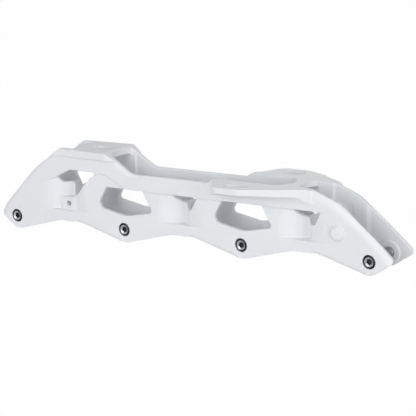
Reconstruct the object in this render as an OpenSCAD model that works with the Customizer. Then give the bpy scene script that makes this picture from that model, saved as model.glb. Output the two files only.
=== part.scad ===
// Four-wheel inline skate frame: one hollow casting with three boot mounting slots and four axle screws.
// X runs from heel to toe, Y across the frame and Z up.
// The profiles are drawn from the rear axle, and the origin is under the middle of the frame.

/* [Wheels] */
// Distance from one axle to the next
wheel_pitch = 105; // [102:0.5:108]
// Clear width between the axle bosses
bay_w = 24; // [23:0.1:25]

/* [Side walls] */
// Width across the outer faces of the two walls
frame_w = 33.6; // [32.8:0.1:35]
// Thickness of a wall
wall_t = 3.6; // [3:0.1:4]
// Height of the beam's top above the axles
beam_top = 43.3; // [42:0.1:44.5]
// Height of the beam's underside above the axles
beam_bottom = 31.2; // [30:0.1:33]
// Depth of the lobe under each axle
lobe_depth = 9.8; // [9:0.1:11]
// How far the struts between the windows sink in under the beam
strut_sink = 0.8; // [0.2:0.1:1.2]

/* [Webs between the wheels] */
// Width across the frame at the waist
waist_w = 14; // [11:0.5:18]
// Length of the long curve behind the waist
pinch_len = 24.5; // [20:0.5:26]
// Radius of the tight curve in front of the waist
pinch_r = 16; // [14:0.5:17]
// Thickness of the web's curved sides
web_t = 3.2; // [2.4:0.1:3.6]
// Thickness of the cross wall at the waist
cross_t = 4; // [3:0.1:5]
// Height of the ledge under the curved sides
ledge_z = 9.4; // [8.6:0.1:10.5]
// Height of the waist's top
waist_top = 25; // [23.5:0.5:26.5]
// Height of the rear web's long side at the waist
rear_waist_top = 31; // [28:0.5:32]
// Width across the brake block in the rear web
block_w = 29.2; // [26:0.1:31]
// Length of the brake block
block_len = 13; // [10:0.5:14]
// Height of the brake block over the ledge
block_h = 10.4; // [8:0.2:11]

/* [Heel deck] */
// Height of the heel deck's top above the axles
heel_z = 58; // [56:0.5:62]
// Thickness of the heel deck
heel_t = 6; // [5:0.5:7]
// Width of the heel deck at its front corners
heel_w = 39; // [36:0.5:42]
// Distance from the rear axle to the heel slot
heel_slot_x = 77; // [74:0.5:80]
// Length of the heel slot
heel_slot_len = 14; // [11:0.5:18]

/* [Toe deck] */
// Height of the toe deck's top above the axles
toe_z = 46.7; // [46:0.1:48]
// Thickness of the toe deck at its rim
toe_t = 4.6; // [4:0.1:5.4]
// How much deeper the wings are at the wall than at the rim
wing_drop = 6.6; // [3:0.1:7.4]
// Width across the two wings
toe_w = 75; // [70:0.5:80]
// How far the left wing lies ahead of the right one
stagger = 15; // [8:1:16]
// Length of a toe slot
toe_slot_len = 17; // [12:0.5:20]
// Distance from the middle of the frame to a toe slot
toe_slot_y = 27.5; // [26:0.5:29]

/* [Screws] */
// Width of the three boot mounting slots
slot_w = 8.4; // [6.2:0.1:9]
// Diameter of an axle's shank
axle_d = 8; // [7:0.1:8.5]
// Diameter of an axle's head
head_d = 10; // [9.5:0.1:12]
// Height of an axle's head
head_h = 3; // [2.5:0.1:3.4]
// Width across the flats of the hex socket
hex_w = 5; // [4:0.5:6]
// Depth of the hex socket
socket_h = 2.4; // [1.8:0.1:3]
// Diameter of the boss round each axle
boss_d = 17; // [15:0.5:19]
// Gap on the radius between an axle and its bores
axle_fit = 0.05; // [0.02:0.01:0.08]
// Diameter of the cross hole on each side of the brake block
brake_hole_d = 4.2; // [3.3:0.1:5]
// Depth of the cross hole
brake_hole_len = 6; // [4:0.5:7]

/* [Hidden] */
$fn = 64;

half_w = frame_w / 2;
inner_y = half_w - wall_t;
axles = [0, 1, 2, 3] * wheel_pitch;
gaps = [for (i = [0:2]) axles[i] + wheel_pitch / 2];
cut = 0.5;
arc_step = 7.5;

// Side outline
lobe_flat = 3;
tip_z = 1;
heel_rear_x = 46.6;
heel_plate_x = 60;
heel_front_x = 94;
heel_bottom = heel_z - heel_t;
heel_ramp = 8;
heel_proud = 0.5;
heel_hollow_r = 32;
heel_hollow_x = 91;
toe_start_x = axles[2] - 28;
toe_end_x = axles[2] + 66;
wing_bottom = toe_z - toe_t - wing_drop;
heel_pad_x = 97.5;
toe_pad_x = axles[2] + 61.5;
rib_x = axles[3] - 17;
recess_x = axles[2] + 23;
toe_mid_x = axles[2] + 44.5;
toe_front_r = 23;
cross_end_x = toe_mid_x + toe_front_r - sqrt(pow(toe_front_r, 2) - pow(inner_y, 2));

// Webs
waist_depth = half_w - waist_w / 2;
long_r = (pow(pinch_len, 2) + pow(waist_depth, 2)) / (2 * waist_depth);
long_turn = asin(pinch_len / long_r);
tight_turn = acos(1 - waist_depth / pinch_r);
tight_len = pinch_r * sin(tight_turn);
inner_turn = asin((pinch_len - cross_t / 2) / (long_r - web_t));
inner_end = acos(min(1, (tight_len - cross_t / 2) / (pinch_r - web_t)));
floor_t = 2.4;
block_x = -1.2;
block_root_y = 4;

// Unit vector and angle helpers
function unit(v) = v / norm(v);
function swing(a) = a > 180 ? a - 360 : a < -180 ? a + 360 : a;
function arc(c, r, from, to) =
    let (n = max(1, ceil(abs(to - from) / arc_step)))
    [for (k = [0:n]) c + r * [cos(from + (to - from) * k / n), sin(from + (to - from) * k / n)]];

// The corners are [x, y, radius], and each radius becomes an arc between its two sides
function rounded(corners) = [
    for (i = [0:len(corners) - 1])
    let (
        p = [corners[i][0], corners[i][1]],
        r = corners[i][2],
        before = corners[(i + len(corners) - 1) % len(corners)],
        after = corners[(i + 1) % len(corners)],
        a = unit([before[0], before[1]] - p),
        b = unit([after[0], after[1]] - p),
        half = acos(a * b) / 2,
        c = p + unit(a + b) * r / sin(half),
        from = atan2((p + a * r / tan(half) - c)[1], (p + a * r / tan(half) - c)[0]),
        turn = swing(atan2((p + b * r / tan(half) - c)[1], (p + b * r / tan(half) - c)[0]) - from)
    )
    each (r == 0 ? [p] : arc(c, r, from, from + turn))
];

// A side view seen from the other side of the frame
function flip(points) = [for (p = points) [-p[0], p[1]]];

// Side view of the casting: lobes under the axles, crests between them, the heel ramp, the beam
// and the toe's nose; the top steps up where a toe wing starts, later on the left than on the right
crest_rear = 9;
crest_front = 11;
function side_outline(start) = rounded(concat(
    [[-15.3, tip_z, 2.5]],
    [[-1.5, -lobe_depth, 6], [lobe_flat + 1, -lobe_depth, 8]],
    [for (i = [0:2]) each [
        [gaps[i] - crest_rear, tip_z, 16],
        [gaps[i] + crest_front, tip_z, 16],
        [axles[i + 1] - lobe_flat, -lobe_depth, 10],
        i < 2 ? [axles[i + 1] + lobe_flat, -lobe_depth, 10] : [axles[3] + 2.5, -lobe_depth, 5],
    ]],
    [[axles[3] + 20.4, tip_z + 0.8, 3.8], [axles[3] + 5, 15.6, 60], [axles[3] - 23, 38.6, 40]],
    [[axles[2] + 60, toe_z, 25], [start + 5, toe_z, 2], [start, beam_top, 2]],
    [[114, beam_top, 14], [91.5, heel_z, 4], [heel_rear_x, heel_z, 3]],
    [[20, 39.5, 60], [-10, 9.5, 25]]
));
left_start_x = toe_start_x + stagger;
right_outline = side_outline(toe_start_x);
left_outline = side_outline(left_start_x);
rear_x = min([for (p = right_outline) p[0]]);
front_x = max([for (p = right_outline) p[0]]);
low_z = min([for (p = right_outline) p[1]]);

// Window over an axle, from the axle; its front corner stops just behind the next web
window = rounded([
    [-15.8, beam_bottom, 1.5],
    [-25.2, 15.7, 4.5],
    [2, 10.5, 15],
    [wheel_pitch / 2 - pinch_len - 0.7, 15.5, 2.5],
    [18, beam_bottom, 1.5],
]);

// Opening above a web in the right wall, from the middle of its gap; the left wall has it turned round
small_opening = rounded([
    [-11, beam_bottom, 1],
    [-2.5, waist_top, 8],
    [1.5, waist_top - 0.5, 2],
    [5, waist_top - 4.5, 2],
    [9, waist_top - 4, 2],
    [tight_len + 0.25, beam_bottom, 1],
]);

// The rear web's openings reach up to the hoop under the heel deck
hoop_z = 41.8;
rear_opening_right = rounded([
    [-12.2, 34.6, 1.5],
    [-8, rear_waist_top - 0.8, 2],
    [-1, rear_waist_top, 2],
    [2.5, waist_top - 1, 3],
    [7, waist_top - 4, 3],
    [16.2, 31, 14],
    [23.7, 38, 12],
    [31.7, hoop_z, 1.5],
    [3, hoop_z, 3],
]);
rear_opening_left = rounded([
    [-16.2, 32.8, 1.5],
    [-9.5, waist_top - 3.5, 3],
    [-4, waist_top - 4.5, 3],
    [0, waist_top - 1, 2],
    [4, rear_waist_top - 0.4, 2],
    [8.2, rear_waist_top - 0.6, 2],
    [12.2, 34.6, 2],
    [20, hoop_z, 1.5],
    [3, hoop_z, 3],
]);

// Place of a web in the walls, from the middle of its gap: the long curve's end on the first side,
// the tight curve's end on the second; the rear web rises towards the heel deck
pocket_right = [
    [-pinch_len, ledge_z],
    [tight_len, ledge_z],
    [tight_len, beam_bottom],
    [-pinch_len, beam_bottom],
];
rear_rise = beam_bottom + 4.5;
rear_pocket_right = [
    [-pinch_len, ledge_z],
    [tight_len, ledge_z],
    [tight_len, rear_rise],
    [-9.5, rear_rise],
    [-pinch_len, beam_bottom - 2],
];
rear_pocket_left = [
    [-tight_len, ledge_z],
    [pinch_len, ledge_z],
    [pinch_len, rear_rise],
    [-9.5, rear_rise],
    [-tight_len, beam_bottom + 1.6],
];

module centred() {
    translate([-(rear_x + front_x) / 2, 0, -low_z]) children();
}

// Places on a wall's inner face that stand in as far as the axle bosses: under the heel deck and the toe deck
module pads() {
    translate([heel_plate_x, rear_rise]) square([heel_pad_x - heel_plate_x, heel_bottom - rear_rise]);
    translate([cross_end_x, beam_bottom]) square([toe_pad_x - cross_end_x, wing_bottom - beam_bottom]);
}

// Plan of the rib inside the nose: a long slope from behind and a short step in front
nose_rib = [
    [rib_x - 18, -inner_y - cut],
    [rib_x - 18, -inner_y],
    [rib_x, -bay_w / 2],
    [rib_x + 3, -inner_y],
    [rib_x + 3, -inner_y - cut],
];

// Turns an X-Z drawing into a plate between two Y places
module plate(y_from, y_to) {
    translate([0, y_to, 0]) rotate([90, 0, 0]) linear_extrude(y_to - y_from) children();
}

module at_axles() {
    for (x = axles) translate([x, 0, 0]) children();
}

// Side view of a wall, without the places of the webs and decks
module wall_drawing(outline, start, windows, pockets, openings) {
    difference() {
        polygon(outline);
        for (i = [1, 2]) translate([axles[i], 0]) polygon(windows);
        for (i = [0:2]) translate([gaps[i], 0]) {
            polygon(pockets[i]);
            polygon(openings[i]);
        }
        translate([0, heel_bottom]) square([heel_front_x + heel_ramp, heel_t + cut]);
        translate([start, wing_bottom]) square([toe_end_x - start, toe_z - wing_bottom + cut]);
    }
}

// Places on a wall's outer face that lean in towards the beam
module strut_drawing() {
    polygon(rounded([
        [gaps[0], ledge_z, 0],
        [gaps[2] + 34, ledge_z, 0],
        [gaps[2] + 12, beam_bottom, 20],
        [axles[1] + 4, beam_bottom, 12],
        [85, 42.8, 9],
        [72, 33, 6],
    ]));
}

// What the lean takes off a wall and the webs beside it
module strut_lean() {
    intersection() {
        plate(-half_w - cut, -inner_y) strut_drawing();
        translate([rear_x, -half_w, ledge_z])
            rotate([-atan2(strut_sink, beam_bottom - ledge_z), 0, 0])
                translate([0, -2 * wall_t, -cut]) cube([front_x - rear_x, 2 * wall_t, beam_top]);
    }
}

module wall() {
    difference() {
        union() {
            plate(-half_w, -inner_y) children();
            plate(-inner_y, -bay_w / 2) intersection() {
                children();
                pads();
            }
            intersection() {
                translate([0, 0, ledge_z]) linear_extrude(beam_top) polygon(nose_rib);
                plate(-half_w, 0) children();
            }
            at_axles() plate(-inner_y, -bay_w / 2) circle(d = boss_d);
        }
        strut_lean();
    }
}

module right_wall() {
    color("white") centred() difference() {
        wall() wall_drawing(
            right_outline, toe_start_x, window,
            [rear_pocket_right, pocket_right, pocket_right],
            [rear_opening_right, small_opening, small_opening]
        );
        at_axles() rotate([90, 0, 0]) {
            cylinder(h = half_w + cut, d = axle_d + 2 * axle_fit);
            translate([0, 0, half_w - head_h]) cylinder(h = head_h + cut, d = head_d + 2 * axle_fit);
        }
    }
}

module left_wall() {
    color("white") centred() mirror([0, 1, 0]) difference() {
        wall() wall_drawing(
            left_outline, left_start_x, flip(window),
            [rear_pocket_left, flip(pocket_right), flip(pocket_right)],
            [rear_opening_left, flip(small_opening), flip(small_opening)]
        );
        at_axles() rotate([90, 0, 0]) cylinder(h = half_w + cut, d = axle_d + 2 * axle_fit);
    }
}

// Plan of a web's right half: the long curve runs into the waist and the tight curve out of it
curve_right = concat(
    arc([-pinch_len, -half_w + long_r], long_r, -90, -90 + long_turn),
    arc([tight_len, -half_w + pinch_r], pinch_r, -90 - tight_turn, -90)
);
side_right = concat(
    curve_right,
    arc([tight_len, -half_w + pinch_r], pinch_r - web_t, -90, -180 + inner_end),
    [[cross_t / 2, 0], [-cross_t / 2, 0]],
    arc([-pinch_len, -half_w + long_r], long_r - web_t, -90 + inner_turn, -90)
);

// One half of a web: the curved side with its rim, and the floor that closes the pinched place below it
module web_half(pocket, opening) {
    difference() {
        union() {
            intersection() {
                translate([0, 0, ledge_z]) linear_extrude(heel_bottom - ledge_z) polygon(side_right);
                plate(-half_w, 0) polygon(pocket);
            }
            translate([0, 0, ledge_z - floor_t]) linear_extrude(floor_t) intersection() {
                union() {
                    polygon(side_right);
                    polygon(curve_right);
                }
                translate([-pinch_len, -inner_y]) square([pinch_len + tight_len, inner_y]);
            }
            children();
        }
        plate(-half_w - cut, cut) polygon(opening);
    }
}

// The left half is the right one turned round the upright axis, so seen from above the web is an S
module web(i) {
    color("white") centred() difference() {
        translate([gaps[i], 0, 0]) children();
        strut_lean();
        mirror([0, 1, 0]) strut_lean();
    }
}

module plain_web(i) {
    web(i) for (turn = [0, 180]) rotate([0, 0, turn]) web_half(pocket_right, small_opening);
}

module brake_block() {
    translate([block_x - block_len / 2, -block_w / 2, ledge_z])
        cube([block_len, block_w / 2 - block_root_y, block_h]);
}

module rear_half(pocket, opening) {
    difference() {
        web_half(pocket, opening) brake_block();
        translate([block_x, -block_w / 2 + brake_hole_len, ledge_z + block_h / 2])
            rotate([90, 0, 0]) cylinder(h = brake_hole_len + cut, d = brake_hole_d);
    }
}

module rear_web() {
    web(0) {
        rear_half(rear_pocket_right, rear_opening_right);
        rotate([0, 0, 180]) rear_half(flip(rear_pocket_left), flip(rear_opening_left));
    }
}

module middle_web() {
    plain_web(1);
}

module front_web() {
    plain_web(2);
}

module slot(length, depth) {
    for (s = [-1, 1]) translate([s * (length - slot_w) / 2, 0, -depth]) cylinder(h = depth + cut, d = slot_w);
    translate([-(length - slot_w) / 2, -slot_w / 2, -depth]) cube([length - slot_w, slot_w, depth + cut]);
}

// Plan of the heel deck: it flares towards the front, where an ear runs down each wall,
// its front edge is hollow between the ears, and its rear edge is set back between the walls
heel_side = [
    [heel_plate_x, -inner_y, 3],
    [30, -inner_y, 0],
    [30, -half_w - heel_proud, 0],
    [heel_rear_x, -half_w - heel_proud, 20],
    [heel_front_x - 2, -heel_w / 2, 8],
    [heel_front_x + heel_ramp, -half_w, 0],
    [heel_front_x + heel_ramp, -inner_y, 0],
];
hollow_turn = asin(inner_y / heel_hollow_r);
hollow = arc([heel_hollow_x + heel_hollow_r, 0], heel_hollow_r, 180 + hollow_turn, 180 - hollow_turn);
heel_plan = rounded(concat(
    heel_side,
    [for (p = hollow) [p[0], p[1], 0]],
    [for (i = [len(heel_side) - 1:-1:0]) [heel_side[i][0], -heel_side[i][1], heel_side[i][2]]]
));

module heel_deck() {
    color("gainsboro") centred() difference() {
        intersection() {
            translate([0, 0, heel_bottom]) linear_extrude(heel_t) polygon(heel_plan);
            plate(-heel_w, heel_w) polygon(right_outline);
        }
        translate([heel_slot_x, 0, heel_z]) slot(heel_slot_len, heel_t + cut);
    }
}

// Plan of a wing: it sweeps out of its wall, runs along the frame and sweeps back in
function wing_plan(start) = rounded([
    [start, -inner_y, 0],
    [toe_end_x, -inner_y, 0],
    [toe_end_x, -half_w, 0],
    [toe_end_x - 10, -half_w, 40],
    [start + 58, -toe_w / 2 + 8, 16],
    [start + 40, -toe_w / 2, 12],
    [start + 17, -toe_w / 2, 8],
    [start + 8, -half_w, 12],
    [start, -half_w, 0],
]);

module wing(outline, start) {
    color("gainsboro") centred() difference() {
        intersection() {
            union() {
                translate([0, 0, wing_bottom]) linear_extrude(toe_z - wing_bottom) polygon(wing_plan(start));
                translate([cross_end_x, -half_w, wing_bottom])
                    cube([toe_pad_x - cross_end_x, half_w - bay_w / 2, toe_z - wing_bottom]);
            }
            translate([start, 0, 0]) rotate([90, 0, 90]) linear_extrude(toe_end_x - start) polygon([
                [-bay_w / 2, toe_z],
                [-toe_w / 2, toe_z],
                [-toe_w / 2, toe_z - toe_t],
                [-half_w, wing_bottom],
                [-bay_w / 2, wing_bottom],
            ]);
            plate(-toe_w, 0) polygon(outline);
        }
        translate([start + 32.5, -toe_slot_y, toe_z]) slot(toe_slot_len, toe_z - wing_bottom + cut);
    }
}

module toe_wing_right() {
    wing(right_outline, toe_start_x);
}

module toe_wing_left() {
    mirror([0, 1, 0]) wing(left_outline, left_start_x);
}

// Plan of the cross deck: a half round recess behind and a shallower curve in front
toe_front_turn = asin(inner_y / toe_front_r);
cross_plan = concat(
    arc([recess_x, 0], inner_y, -90, 90),
    arc([toe_mid_x + toe_front_r, 0], toe_front_r, 180 - toe_front_turn, 180 + toe_front_turn)
);

module toe_cross_deck() {
    color("gainsboro") centred() translate([0, 0, toe_z - toe_t]) linear_extrude(toe_t) polygon(cross_plan);
}

module axle(i) {
    color("dimgray") centred() translate([axles[i], 0, 0]) rotate([90, 0, 0]) difference() {
        union() {
            translate([0, 0, -half_w + cut]) cylinder(h = frame_w - head_h - cut, d = axle_d);
            translate([0, 0, half_w - head_h]) cylinder(h = head_h, d = head_d);
        }
        translate([0, 0, half_w - socket_h]) cylinder(h = head_h, d = hex_w / cos(30), $fn = 6);
    }
}

module axle_1() {
    axle(0);
}

module axle_2() {
    axle(1);
}

module axle_3() {
    axle(2);
}

module axle_4() {
    axle(3);
}

right_wall();
left_wall();
rear_web();
middle_web();
front_web();
heel_deck();
toe_wing_right();
toe_wing_left();
toe_cross_deck();
axle_1();
axle_2();
axle_3();
axle_4();
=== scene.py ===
"""Looks of a four-wheel inline skate frame: a white powder-coated casting with four steel axle screws."""

import math

import bmesh
import bpy
import numpy as np
from mathutils import Matrix, Vector


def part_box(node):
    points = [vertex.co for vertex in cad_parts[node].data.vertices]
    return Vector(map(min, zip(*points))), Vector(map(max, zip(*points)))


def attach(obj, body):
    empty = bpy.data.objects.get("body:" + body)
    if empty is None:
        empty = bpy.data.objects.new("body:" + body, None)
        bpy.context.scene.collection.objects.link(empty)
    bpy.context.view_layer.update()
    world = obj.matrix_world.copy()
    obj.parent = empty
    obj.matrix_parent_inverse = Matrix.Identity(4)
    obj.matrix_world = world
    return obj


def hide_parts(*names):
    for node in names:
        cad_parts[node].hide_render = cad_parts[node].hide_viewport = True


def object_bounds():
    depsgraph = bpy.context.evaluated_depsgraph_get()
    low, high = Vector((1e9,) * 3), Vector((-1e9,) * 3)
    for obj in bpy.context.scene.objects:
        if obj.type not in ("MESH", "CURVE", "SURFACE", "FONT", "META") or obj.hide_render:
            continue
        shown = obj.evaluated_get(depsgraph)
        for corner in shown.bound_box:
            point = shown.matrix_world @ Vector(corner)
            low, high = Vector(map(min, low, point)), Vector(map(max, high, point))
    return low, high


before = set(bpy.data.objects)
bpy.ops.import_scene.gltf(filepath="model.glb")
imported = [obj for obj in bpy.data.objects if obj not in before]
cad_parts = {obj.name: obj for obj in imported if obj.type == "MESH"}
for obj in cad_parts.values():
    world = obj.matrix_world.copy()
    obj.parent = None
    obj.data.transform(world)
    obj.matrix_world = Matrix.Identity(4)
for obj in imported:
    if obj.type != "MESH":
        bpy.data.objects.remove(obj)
cad_low, cad_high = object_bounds()
scene = bpy.context.scene
scene.view_settings.view_transform = "Standard"

MM = 0.001


def in_mm(metres):
    """A length from the frame in mm, to the micrometre."""
    return round(metres / MM, 3)


# The casting's regions in the frame, which one skin stands for
CASTING_NODES = [
    "right_wall",
    "left_wall",
    "rear_web",
    "middle_web",
    "front_web",
    "heel_deck",
    "toe_wing_right",
    "toe_wing_left",
    "toe_cross_deck",
]
AXLE_NODES = ["axle_1", "axle_2", "axle_3", "axle_4"]

# Camera, from the fit to the photograph: its lens and sensor are in mm, and its reach is in metres
CAMERA_AT = Vector((722.3, -1035.5, 335.1)) * MM
CAMERA_AZIMUTH = math.radians(34.45)
CAMERA_ELEVATION = math.radians(13.667)
CAMERA_ROLL = math.radians(-2.296)
CAMERA_LENS = 151.28
CAMERA_SENSOR = 36
CAMERA_REACH = 20

# Softboxes: place and side in metres and power in watts, and the place that all of them face
SOFTBOXES = {
    "key": ((4.0, -1.2, 0.5), 2.0, 58),
    "front": ((0.1, -1.9, 0.3), 1.2, 15.5),
    "front_high": ((0.1, -1.5, 1.2), 1.0, 6),
    "back": ((-0.8, 2.2, 0.5), 1.2, 3),
}
SOFTBOX_AIM = Vector((0, 0, 0.03))

# Strength of the surround's soft light from behind the heel and from ahead of the nose
WORLD_BEHIND = 0.22
WORLD_AHEAD = 0.5

# Floor: how far it reaches from the middle in metres, how far it lies below the casting, and the share
# of its colour that is plain white to the rays that see it, where the rest keeps the shadow
FLOOR_REACH = 4
FLOOR_DROP = 0.05 * MM
FLOOR_WHITE = 0.98

# Powder coat's patterns: patches of its tint, waves of its orange peel and their height, and grain of
# its gloss
COAT_PATCH = 45 * MM
COAT_PEEL = 1.6 * MM
COAT_PEEL_H = 0.05 * MM
COAT_GRAIN = 0.5 * MM

# Steel's patterns: patches of wear, and the lathe's rings with their height. A wave's bands lie 0.31 of
# its size apart. That puts the rings 0.38 mm apart, coarser than a lathe leaves them, so that they show.
STEEL_PATCH = 1.5 * MM
STEEL_RINGS = 1.2 * MM
STEEL_RINGS_H = 0.02 * MM

# Casting's skin: size of the even faces that fuse the regions, strength and rounds of the softening,
# share of the faces that is kept, and distance within which points merge
SKIN_VOXEL = 0.45 * MM
SKIN_SMOOTH = 0.5
SKIN_PASSES = 4
SKIN_KEEP = 0.3
MERGE_DISTANCE = 0.02 * MM

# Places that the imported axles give: a head's outer end is level with the right wall's outer face
AXLE_BOXES = [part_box(name) for name in AXLE_NODES]
AXLE_X = [(low.x + high.x) / 2 for low, high in AXLE_BOXES]
AXLE_Z = (AXLE_BOXES[0][0].z + AXLE_BOXES[0][1].z) / 2
HEAD_R = (AXLE_BOXES[0][1].z - AXLE_BOXES[0][0].z) / 2
FACE_Y = -AXLE_BOXES[0][0].y
TIP_Y = AXLE_BOXES[0][1].y

# Axle screws: the head's height, the shank's radius, and how far the skin stays off the screws
HEAD_H = 3 * MM
SHANK_R = 4 * MM
BORE_GAP = 0.14 * MM
# Right wall's outer face and the heads' undersides along Y, in mm
OUTER_Y = -FACE_Y / MM
UNDER_Y = OUTER_Y + HEAD_H / MM

# Head's outer end, each point's radius and depth below the wall's face in mm: the floor of the cone
# round the socket, its rim and the rounded edge, which reaches the head's full radius at HEAD_EDGE.
# Then the bevel of the screw's edges, and the angle from which an edge is shaded sharp.
HEAD_END = [(1.2, 0.95), (2.5, 0.95), (3.45, 0.3), (3.6, 0.2), (3.9, 0.25), (4.4, 0.6)]
HEAD_EDGE = 1.2
HEAD_BEVEL = 0.12 * MM
SHARP_ANGLE = math.radians(35)

# Hex socket: its corners' radius and its depth in mm, and how far it is turned
SOCKET_SIDES = 6
SOCKET_R = 2.35
SOCKET_H = 2.8
SOCKET_TURN = math.radians(12)

# Ring round the socket, painted in bright steel as a highlight on the head's black plating, in mm: its
# radii, from just inside the hexagon's flats, and how deep below the wall's face it goes. Its faces look
# at least this share along the axle.
FLATS_SHARE = 0.85
HIGHLIGHT_FROM = SOCKET_R * FLATS_SHARE
HIGHLIGHT_TO = 3.5
HIGHLIGHT_DEEP = 1.1
HIGHLIGHT_FACING = 0.3

# Threaded end, in mm: the thread's turns, pitch and depth, the length and chamfer of the plain tip, and
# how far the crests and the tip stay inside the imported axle
THREAD_TURNS = 5
THREAD_PITCH = 1.0
THREAD_DEPTH = 0.45
TIP_LENGTH = 0.8
TIP_CHAMFER = 0.7
CREST_INSIDE = 0.02
TIP_INSIDE = 0.01

# Sides of each turned piece
TURN_SIDES = 48

# Disc on the nose, in mm: its radius and its place from the front axle, its rim's points as the
# distance in from the radius and the depth below the wall's face, its boss's height and the radius at
# which the boss's face closes
DISC_R = 6.7
DISC_AT = (-25.2, 0, 17.4)
DISC_RIM = [(0, 0.6), (0, -0.15), (0.25, -0.45), (0.6, -0.45), (0.75, 0.3), (1.35, 0.3), (1.5, -0.45)]
BOSS_H = 0.5
BOSS_MIDDLE_R = 0.4

# Forms that the skin adds are in mm from the rear axle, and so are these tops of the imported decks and
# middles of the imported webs
HEEL_TOP = in_mm(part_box("heel_deck")[1].z - AXLE_Z)
WING_TOP = in_mm(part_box("toe_wing_right")[1].z - AXLE_Z)
WEB_X = [in_mm((rear + front) / 2 - AXLE_X[0]) for rear, front in zip(AXLE_X, AXLE_X[1:])]

# How far a point may lie inside a form's edge, or proud of its face, and still be pressed
EDGE_SLACK = 0.35

# Boot slots: the radius of their round ends, the chamfer round them, the line between the centres of
# the ends as seen from above, and the height of the face that each one opens in
SLOT_R = 4.2
SLOT_CHAMFER = 1.1
SLOTS = [
    ([(74.2, 0), (79.8, 0)], HEEL_TOP),
    ([(210.2, -27.5), (218.8, -27.5)], WING_TOP),
    ([(225.2, 27.5), (233.8, 27.5)], WING_TOP),
]

# Struts' rounding towards the webs' waists: how far from a web's middle it starts, how long and how
# deep it is, and the heights between which it lies
ROLL_START = 5.8
ROLL_LENGTH = 17
ROLL_DEEP = 2.75
ROLL_LOW = 9.6
ROLL_HIGH = 31

# Toe wings: where the right one and the left one start to thin and over what length, how far the rim
# stands out from the wall, thickness at the wall and at the rim, and the thin part's thickness and
# fillet at the wall
WING_THIN_FROM = (212, 227)
WING_THIN_LENGTH = 16
WING_OUT = in_mm(-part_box("toe_wing_right")[0].y - FACE_Y)
WING_ROOT_T = 11.2
WING_RIM_T = 4.6
WING_THIN_T = 6.2
WING_FILLET = 2.5

# Bends of a facet: the power by which its depth falls over its width
FLAT = 1
ROUNDED = 2

# Facets along the casting's outer edges: the side view's line, how wide the facet is on the face, how
# deep it cuts at the edge, and its bend
FACETS = [
    # Rear end, up to the heel deck
    ([(-15, 0), (-10.2, 9.3), (3, 22.4), (18.6, 38.2), (33.8, 49.8), (46.6, 58.2)], 2.4, 1.3, FLAT),
    # Slope down from the heel deck, and the beam's top edge
    ([(91, 58.2), (103, 50), (112, 44.2), (120, 43.3), (180, 43.3)], 2.6, 1.0, FLAT),
    # Nose
    (
        [(262, 46.9), (276, 45), (289, 39.8), (298, 33.9), (309, 25), (322, 14.2), (334, 1.5)],
        7.5,
        1.7,
        ROUNDED,
    ),
    # Lower edges that fall to the second, third and fourth axles
    ([(61, 0.8), (77, -3.2), (100, -9.5)], 2.6, 1.2, FLAT),
    ([(166, 0.8), (182, -3.4), (205, -9.5)], 2.6, 1.2, FLAT),
    ([(271, 0.8), (287, -3.2), (310, -9.5)], 2.6, 1.2, FLAT),
]


def colour(hex_value):
    """An sRGB hex value as the linear colour that shaders take."""
    channels = [int(hex_value[i : i + 2], 16) / 255 for i in (1, 3, 5)]
    linear = [c / 12.92 if c <= 0.04045 else ((c + 0.055) / 1.055) ** 2.4 for c in channels]
    return (*linear, 1)


def add(tree, kind, values=None, links=None, **settings):
    """Adds a node with its settings, input values and the outputs that feed its inputs."""
    made = tree.nodes.new(kind)
    for name, value in settings.items():
        setattr(made, name, value)
    for name, value in (values or {}).items():
        made.inputs[name].default_value = value
    for name, output in (links or {}).items():
        tree.links.new(output, made.inputs[name])
    return made


def new_material(name):
    """A material and its empty node tree."""
    made = bpy.data.materials.new(name)
    made.use_nodes = True
    made.node_tree.nodes.clear()
    return made, made.node_tree


def powder_coat():
    """Polyester powder coat, sprayed and baked on cast aluminium: satin white with faint orange peel."""
    made, tree = new_material("powder_coat_white")
    place = add(tree, "ShaderNodeTexCoord").outputs["Object"]
    patches = add(
        tree,
        "ShaderNodeTexNoise",
        {"Scale": 1 / COAT_PATCH, "Detail": 3.0, "Roughness": 0.5},
        {"Vector": place},
    )
    tint = add(
        tree,
        "ShaderNodeMix",
        {"A": colour("#E9EBEE"), "B": colour("#E4E6EA")},
        {"Factor": patches.outputs["Fac"]},
        data_type="RGBA",
    )
    peel = add(
        tree,
        "ShaderNodeTexNoise",
        {"Scale": 1 / COAT_PEEL, "Detail": 2.0, "Roughness": 0.45},
        {"Vector": place},
    )
    grain = add(
        tree,
        "ShaderNodeTexNoise",
        {"Scale": 1 / COAT_GRAIN, "Detail": 1.0},
        {"Vector": place},
    )
    gloss = add(
        tree,
        "ShaderNodeMapRange",
        {"From Min": 0.3, "From Max": 0.7, "To Min": 0.34, "To Max": 0.44},
        {"Value": grain.outputs["Fac"]},
    )
    bump = add(
        tree,
        "ShaderNodeBump",
        {"Strength": 0.25, "Distance": COAT_PEEL_H},
        {"Height": peel.outputs["Fac"]},
    )
    coat_skin = add(
        tree,
        "ShaderNodeBsdfPrincipled",
        {"IOR": 1.5},
        {
            "Base Color": tint.outputs["Result"],
            "Roughness": gloss.outputs["Result"],
            "Normal": bump.outputs["Normal"],
        },
    )
    add(tree, "ShaderNodeOutputMaterial", links={"Surface": coat_skin.outputs["BSDF"]})
    return made


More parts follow.
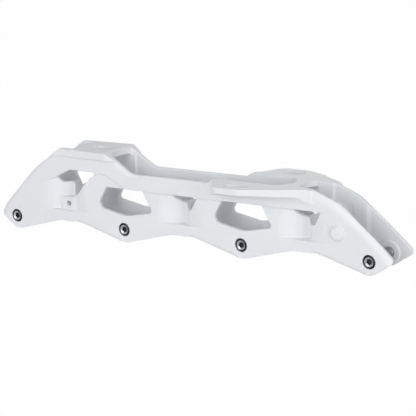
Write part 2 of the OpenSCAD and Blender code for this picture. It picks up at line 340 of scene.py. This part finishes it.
def turned_steel(name, dark, light):
    """Turned steel, black where plated, bright where unplated and where a highlight is painted: rings
    from the lathe and a soft gloss.
    """
    made, tree = new_material(name)
    place = add(tree, "ShaderNodeTexCoord").outputs["Object"]
    wear = add(
        tree,
        "ShaderNodeTexNoise",
        {"Scale": 1 / STEEL_PATCH, "Detail": 4.0},
        {"Vector": place},
    )
    tint = add(
        tree,
        "ShaderNodeMix",
        {"A": colour(dark), "B": colour(light)},
        {"Factor": wear.outputs["Fac"]},
        data_type="RGBA",
    )
    gloss = add(
        tree,
        "ShaderNodeMapRange",
        {"From Min": 0.35, "From Max": 0.65, "To Min": 0.22, "To Max": 0.34},
        {"Value": wear.outputs["Fac"]},
    )
    rings = add(
        tree,
        "ShaderNodeTexWave",
        {"Scale": 1 / STEEL_RINGS, "Distortion": 0.6},
        {"Vector": place},
        wave_type="BANDS",
        bands_direction="Y",
    )
    bump = add(
        tree,
        "ShaderNodeBump",
        {"Strength": 0.2, "Distance": STEEL_RINGS_H},
        {"Height": rings.outputs["Fac"]},
    )
    steel_skin = add(
        tree,
        "ShaderNodeBsdfPrincipled",
        {"Metallic": 1.0},
        {
            "Base Color": tint.outputs["Result"],
            "Roughness": gloss.outputs["Result"],
            "Normal": bump.outputs["Normal"],
        },
    )
    add(tree, "ShaderNodeOutputMaterial", links={"Surface": steel_skin.outputs["BSDF"]})
    return made


def put(name, data):
    """A new object of that data in the scene."""
    made = bpy.data.objects.new(name, data)
    scene.collection.objects.link(made)
    return made


def put_dressed(name, mesh, material):
    """A new object of that mesh and material in the scene."""
    made = put(name, mesh)
    mesh.materials.append(material)
    return made


def mesh_of(build, name):
    """The built shape as a new mesh."""
    mesh = bpy.data.meshes.new(name)
    build.to_mesh(mesh)
    build.free()
    return mesh


def applied(shaped):
    """The mesh that an object's modifiers give, in place of the object."""
    graph = bpy.context.evaluated_depsgraph_get()
    mesh = bpy.data.meshes.new_from_object(shaped.evaluated_get(graph))
    bpy.data.objects.remove(shaped)
    return mesh


def add_camera():
    """The photograph's camera: it sees the right side from ahead of the nose and a little above."""
    data = bpy.data.cameras.new("camera")
    data.sensor_width = CAMERA_SENSOR
    data.lens = CAMERA_LENS
    data.clip_end = CAMERA_REACH
    camera = put("camera", data)
    turn = (
        Matrix.Rotation(CAMERA_AZIMUTH, 4, "Z")
        @ Matrix.Rotation(math.pi / 2 - CAMERA_ELEVATION, 4, "X")
        @ Matrix.Rotation(CAMERA_ROLL, 4, "Z")
    )
    camera.matrix_world = Matrix.Translation(CAMERA_AT) @ turn
    scene.camera = camera


def fused_regions():
    """One closed mesh of even small faces over all the casting's regions."""
    build = bmesh.new()
    for name in CASTING_NODES:
        build.from_mesh(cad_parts[name].data)
    regions = put("casting_regions", mesh_of(build, "casting_regions"))
    fuse = regions.modifiers.new("fuse", "REMESH")
    fuse.mode = "VOXEL"
    fuse.voxel_size = SKIN_VOXEL
    return applied(regions)


def press(depth, flat, line, edge, wide, deep, bend):
    """Sinks a face along a line, all in mm: deep at the edge's distance, and less over the width.

    depth holds how far each point lies below the face, and changes. flat holds its place along the face.
    """
    near = np.full(len(flat), np.inf)
    for start, end in zip(line, line[1:]):
        start, run = np.array(start), np.subtract(end, start)
        out = flat - start
        share = np.clip(out @ run / (run @ run), 0, 1)
        near = np.minimum(near, np.linalg.norm(out - share[:, None] * run, axis=1))
    cut = deep * np.clip(1 - (near - edge) / wide, 0, None) ** bend
    pressed = (near > edge - EDGE_SLACK) & (cut > 0) & (depth < cut) & (depth > -EDGE_SLACK)
    depth[pressed] = cut[pressed]


def roll_struts(depth, spot):
    """Rounds the struts towards the webs' waists: ahead of them on the right, behind them on the left."""
    turn = -np.sign(spot[:, 1])
    level = (spot[:, 2] > ROLL_LOW) & (spot[:, 2] < ROLL_HIGH)
    for middle in WEB_X:
        along = turn * (spot[:, 0] - middle) - ROLL_START
        cut = ROLL_DEEP * (1 - along / ROLL_LENGTH) ** 2
        rolled = level & (along > 0) & (along < ROLL_LENGTH) & (depth < cut) & (depth > -EDGE_SLACK)
        depth[rolled] = cut[rolled]


def thin_wings(spot):
    """Thins the toe wings' front part from below, so that their rims keep an even height to the nose."""
    out = np.abs(spot[:, 1]) - FACE_Y / MM
    start = np.where(spot[:, 1] < 0, *WING_THIN_FROM)
    share = np.clip((spot[:, 0] - start) / WING_THIN_LENGTH, 0, 1) * np.clip(out / WING_FILLET, 0, 1)
    thick = np.interp(out, (0, WING_OUT), (WING_ROOT_T, WING_RIM_T))
    thinned = np.interp(out, (0, WING_OUT), (WING_THIN_T, WING_RIM_T))
    scale = 1 + share * (thinned / thick - 1)
    wing = out > 0
    spot[wing, 2] = WING_TOP - ((WING_TOP - spot[:, 2]) * scale)[wing]


def shape_casting(points):
    """Gives the casting its facets, rounded struts, slot chamfers and thinner wings."""
    from_axle = np.array([AXLE_X[0], 0, AXLE_Z]) / MM
    spot = points / MM - from_axle
    depth = FACE_Y / MM - np.abs(spot[:, 1])
    for line, wide, deep, bend in FACETS:
        press(depth, spot[:, (0, 2)], line, edge=0, wide=wide, deep=deep, bend=bend)
    roll_struts(depth, spot)
    spot[:, 1] = np.sign(spot[:, 1]) * (FACE_Y / MM - depth)
    for line, top in SLOTS:
        depth = top - spot[:, 2]
        press(depth, spot[:, (0, 1)], line, SLOT_R, SLOT_CHAMFER, SLOT_CHAMFER, FLAT)
        spot[:, 2] = top - depth
    thin_wings(spot)
    return (spot + from_axle) * MM


def clear_bores(points):
    """Moves the skin off the screws: to the head's counterbore on the right, else to the shank's bore."""
    for x in AXLE_X:
        centre = np.array([x, AXLE_Z])
        flat = points[:, (0, 2)] - centre
        radius = np.linalg.norm(flat, axis=1)
        least = np.where(points[:, 1] < HEAD_H - FACE_Y + BORE_GAP, HEAD_R, SHANK_R) + BORE_GAP
        inside = (radius < least) & (radius > SHANK_R / 2)
        points[np.ix_(inside, (0, 2))] = centre + flat[inside] * (least / radius)[inside, None]
    return points


def move_points(mesh, step):
    """Runs the step on an array of the mesh's points, in metres."""
    points = np.empty(len(mesh.vertices) * 3)
    mesh.vertices.foreach_get("co", points)
    moved = step(points.reshape(-1, 3))
    mesh.vertices.foreach_set("co", moved.ravel())
    mesh.update()


def islands(build):
    """The sets of points that edges join, with the largest set last."""
    left = set(build.verts)
    found = []
    while left:
        island = {left.pop()}
        front = list(island)
        while front:
            vert = front.pop()
            for edge in vert.link_edges:
                other = edge.other_vert(vert)
                if other in left:
                    left.remove(other)
                    island.add(other)
                    front.append(other)
        found.append(island)
    return sorted(found, key=len)


def keep_largest(mesh):
    """Merges points that fell together, keeps the skin's largest island and splits faces to triangles."""
    build = bmesh.new()
    build.from_mesh(mesh)
    bmesh.ops.remove_doubles(build, verts=build.verts, dist=MERGE_DISTANCE)
    bmesh.ops.dissolve_degenerate(build, edges=build.edges, dist=MERGE_DISTANCE)
    for island in islands(build)[:-1]:
        bmesh.ops.delete(build, geom=list(island), context="VERTS")
    bmesh.ops.triangulate(build, faces=build.faces)
    build.to_mesh(mesh)
    build.free()


def soften_edges(mesh):
    """The skin with soft edges and fewer faces, as a new mesh."""
    shaping = put("shaping", mesh)
    soften = shaping.modifiers.new("soften", "SMOOTH")
    soften.factor = SKIN_SMOOTH
    soften.iterations = SKIN_PASSES
    thin = shaping.modifiers.new("thin", "DECIMATE")
    thin.ratio = SKIN_KEEP
    return applied(shaping)


def shade_smooth(mesh):
    """Shades all of the mesh's faces smooth."""
    mesh.polygons.foreach_set("use_smooth", [True] * len(mesh.polygons))


def casting_skin(material):
    """One closed skin over all the casting's regions, with the soft edges of a coated casting."""
    fused = fused_regions()
    move_points(fused, shape_casting)
    mesh = soften_edges(fused)
    keep_largest(mesh)
    move_points(mesh, clear_bores)
    mesh.name = "casting"
    mesh.materials.clear()
    shade_smooth(mesh)
    piece = put_dressed("casting_skin", mesh, material)
    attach(piece, "casting")
    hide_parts(*CASTING_NODES)


def turned(profile, place):
    """A closed turned piece about an axis along Y: the profile is (radius, distance along Y) in mm."""
    build = bmesh.new()
    rings = []
    for radius, along in profile:
        ring = []
        for k in range(TURN_SIDES):
            angle = 2 * math.pi * k / TURN_SIDES
            spot = (radius * math.cos(angle) * MM, along * MM, radius * math.sin(angle) * MM)
            ring.append(build.verts.new(spot))
        rings.append(ring)
    for first, second in zip(rings, rings[1:]):
        for k in range(TURN_SIDES):
            after = (k + 1) % TURN_SIDES
            build.faces.new((first[k], first[after], second[after], second[k]))
    build.faces.new(rings[0])
    build.faces.new(rings[-1])
    bmesh.ops.recalc_face_normals(build, faces=build.faces)
    bmesh.ops.translate(build, verts=build.verts, vec=place)
    return mesh_of(build, "turned")


def screw_profile():
    """The turned profile of a screw: its head, plain shank, thread and chamfered tip."""
    head_r = HEAD_R / MM
    shank_r = SHANK_R / MM
    crest_r = shank_r - CREST_INSIDE
    thread_end = TIP_Y / MM - TIP_LENGTH
    profile = [(radius, OUTER_Y + depth) for radius, depth in HEAD_END]
    profile += [(head_r, OUTER_Y + HEAD_EDGE), (head_r, UNDER_Y), (shank_r, UNDER_Y)]
    for turns_left in range(THREAD_TURNS, 0, -1):
        start = thread_end - turns_left * THREAD_PITCH
        profile += [(crest_r, start), (shank_r - THREAD_DEPTH, start + THREAD_PITCH / 2)]
    profile += [(crest_r, thread_end), (shank_r - TIP_CHAMFER, TIP_Y / MM - TIP_INSIDE)]
    return profile


def socket_cutter(x):
    """The cutter for the hex socket, which stands halfway out of the head's end."""
    build = bmesh.new()
    bmesh.ops.create_cone(
        build,
        cap_ends=True,
        segments=SOCKET_SIDES,
        radius1=SOCKET_R * MM,
        radius2=SOCKET_R * MM,
        depth=2 * SOCKET_H * MM,
    )
    bmesh.ops.rotate(build, verts=build.verts, matrix=Matrix.Rotation(math.pi / 2, 3, "X"))
    bmesh.ops.rotate(build, verts=build.verts, matrix=Matrix.Rotation(SOCKET_TURN, 3, "Y"))
    bmesh.ops.translate(build, verts=build.verts, vec=(x, -FACE_Y, AXLE_Z))
    return put("cutter", mesh_of(build, "socket"))


def is_unplated_or_highlight(face, x):
    """Whether a face of the screw at x takes the bright steel: the ring round the socket, where it paints
    a highlight, and the unplated shank and thread.
    """
    radius = math.hypot(face.center.x - x, face.center.z - AXLE_Z) / MM
    along = face.center.y / MM
    # Painted highlight: the faces of the ring round the socket that look out along the axle
    faces_out = abs(face.normal.y) > HIGHLIGHT_FACING
    ring = HIGHLIGHT_FROM < radius < HIGHLIGHT_TO and along < OUTER_Y + HIGHLIGHT_DEEP and faces_out
    return ring or along > UNDER_Y


def axle_screw(name, x, plated, unplated_and_highlight):
    """An axle screw: a black head whose cone round the hex socket is painted bright as a highlight, a
    plain shank and a thread.
    """
    whole = put("whole", turned(screw_profile(), (x, 0, AXLE_Z)))
    cutter = socket_cutter(x)
    socket = whole.modifiers.new("socket", "BOOLEAN")
    socket.operation = "DIFFERENCE"
    socket.object = cutter
    edge = whole.modifiers.new("edge", "BEVEL")
    edge.width = HEAD_BEVEL
    edge.segments = 2
    edge.limit_method = "ANGLE"
    mesh = applied(whole)
    bpy.data.objects.remove(cutter)
    mesh.name = name
    mesh.materials.clear()
    mesh.set_sharp_from_angle(angle=SHARP_ANGLE)
    piece = put_dressed(name + "_screw", mesh, plated)
    # Second material: the unplated shank and thread, and a painted highlight on the ring round the socket
    mesh.materials.append(unplated_and_highlight)
    for face in mesh.polygons:
        face.material_index = int(is_unplated_or_highlight(face, x))
    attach(piece, name)
    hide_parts(name)


def plain_disc(material):
    """A plain round boss in a raised ring, with a groove between, cast with the nose's outer face."""
    profile = [(DISC_R - inset, OUTER_Y + depth) for inset, depth in DISC_RIM]
    profile += [(DISC_R / 2, OUTER_Y - BOSS_H), (BOSS_MIDDLE_R, OUTER_Y - BOSS_H)]
    place = Vector((AXLE_X[-1], 0, AXLE_Z)) + Vector(DISC_AT) * MM
    mesh = turned(profile, place)
    shade_smooth(mesh)
    piece = put_dressed("nose_disc", mesh, material)
    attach(piece, "casting")


def softbox(name, place, side, watts):
    """A square softbox that faces the object."""
    data = bpy.data.lights.new(name, "AREA")
    data.shape = "SQUARE"
    data.size = side
    data.energy = watts
    made = put(name, data)
    made.location = place
    made.rotation_euler = (Vector(place) - SOFTBOX_AIM).to_track_quat("Z", "Y").to_euler()


def backdrop_rays(tree):
    """1 for the rays that see the white surround: from the camera, off a gloss and through glass."""
    path = add(tree, "ShaderNodeLightPath").outputs
    bounced = add(
        tree,
        "ShaderNodeMath",
        links={0: path["Is Glossy Ray"], 1: path["Is Transmission Ray"]},
        operation="MAXIMUM",
    )
    seen = add(
        tree,
        "ShaderNodeMath",
        links={0: path["Is Camera Ray"], 1: bounced.outputs[0]},
        operation="MAXIMUM",
    )
    return seen.outputs[0]


def light_studio():
    """The softboxes, and a white surround whose soft light on the object is weaker towards the heel."""
    for name, (place, side, watts) in SOFTBOXES.items():
        softbox(name, place, side, watts)
    world = bpy.data.worlds.new("studio")
    scene.world = world
    world.use_nodes = True
    tree = world.node_tree
    tree.nodes.clear()
    way = add(tree, "ShaderNodeTexCoord").outputs["Generated"]
    parts = add(tree, "ShaderNodeSeparateXYZ", links={0: way})
    fade = add(
        tree,
        "ShaderNodeMapRange",
        {"From Min": -1.0, "From Max": 1.0, "To Min": WORLD_BEHIND, "To Max": WORLD_AHEAD},
        {"Value": parts.outputs["X"]},
    )
    soft = add(
        tree,
        "ShaderNodeBackground",
        {"Color": colour("#FFFFFF")},
        {"Strength": fade.outputs["Result"]},
    )
    white = add(tree, "ShaderNodeBackground", {"Color": colour("#FFFFFF"), "Strength": 1.0})
    mix = add(
        tree,
        "ShaderNodeMixShader",
        links={0: backdrop_rays(tree), 1: soft.outputs[0], 2: white.outputs[0]},
    )
    add(tree, "ShaderNodeOutputWorld", links={"Surface": mix.outputs[0]})


def floor_paint():
    """Matt white paint that the camera sees as almost plain white, with a trace of the shadow."""
    made, tree = new_material("floor_white")
    share = add(
        tree,
        "ShaderNodeMath",
        {1: FLOOR_WHITE},
        {0: backdrop_rays(tree)},
        operation="MULTIPLY",
    )
    paint = add(tree, "ShaderNodeBsdfDiffuse", {"Color": colour("#F4F4F4")})
    white = add(tree, "ShaderNodeEmission", {"Color": colour("#FFFFFF"), "Strength": 1.0})
    mix = add(
        tree,
        "ShaderNodeMixShader",
        links={0: share.outputs[0], 1: paint.outputs[0], 2: white.outputs[0]},
    )
    add(tree, "ShaderNodeOutputMaterial", links={"Surface": mix.outputs[0]})
    return made


def lay_floor():
    """The floor, just below the casting."""
    build = bmesh.new()
    bmesh.ops.create_grid(build, x_segments=1, y_segments=1, size=FLOOR_REACH)
    floor = put_dressed("floor", mesh_of(build, "floor"), floor_paint())
    floor.location.z = cad_low.z - FLOOR_DROP


add_camera()
coat = powder_coat()
plated_steel = turned_steel("plated_steel_black", "#1D2024", "#3A3E43")
# Bright steel: the unplated shanks and threads, and a painted highlight on the ring round each socket
unplated_steel_and_highlight = turned_steel("unplated_steel_and_highlight", "#8E9196", "#B4B7BB")
casting_skin(coat)
plain_disc(coat)
for axle, axle_x in zip(AXLE_NODES, AXLE_X):
    axle_screw(axle, axle_x, plated_steel, unplated_steel_and_highlight)
light_studio()
lay_floor()
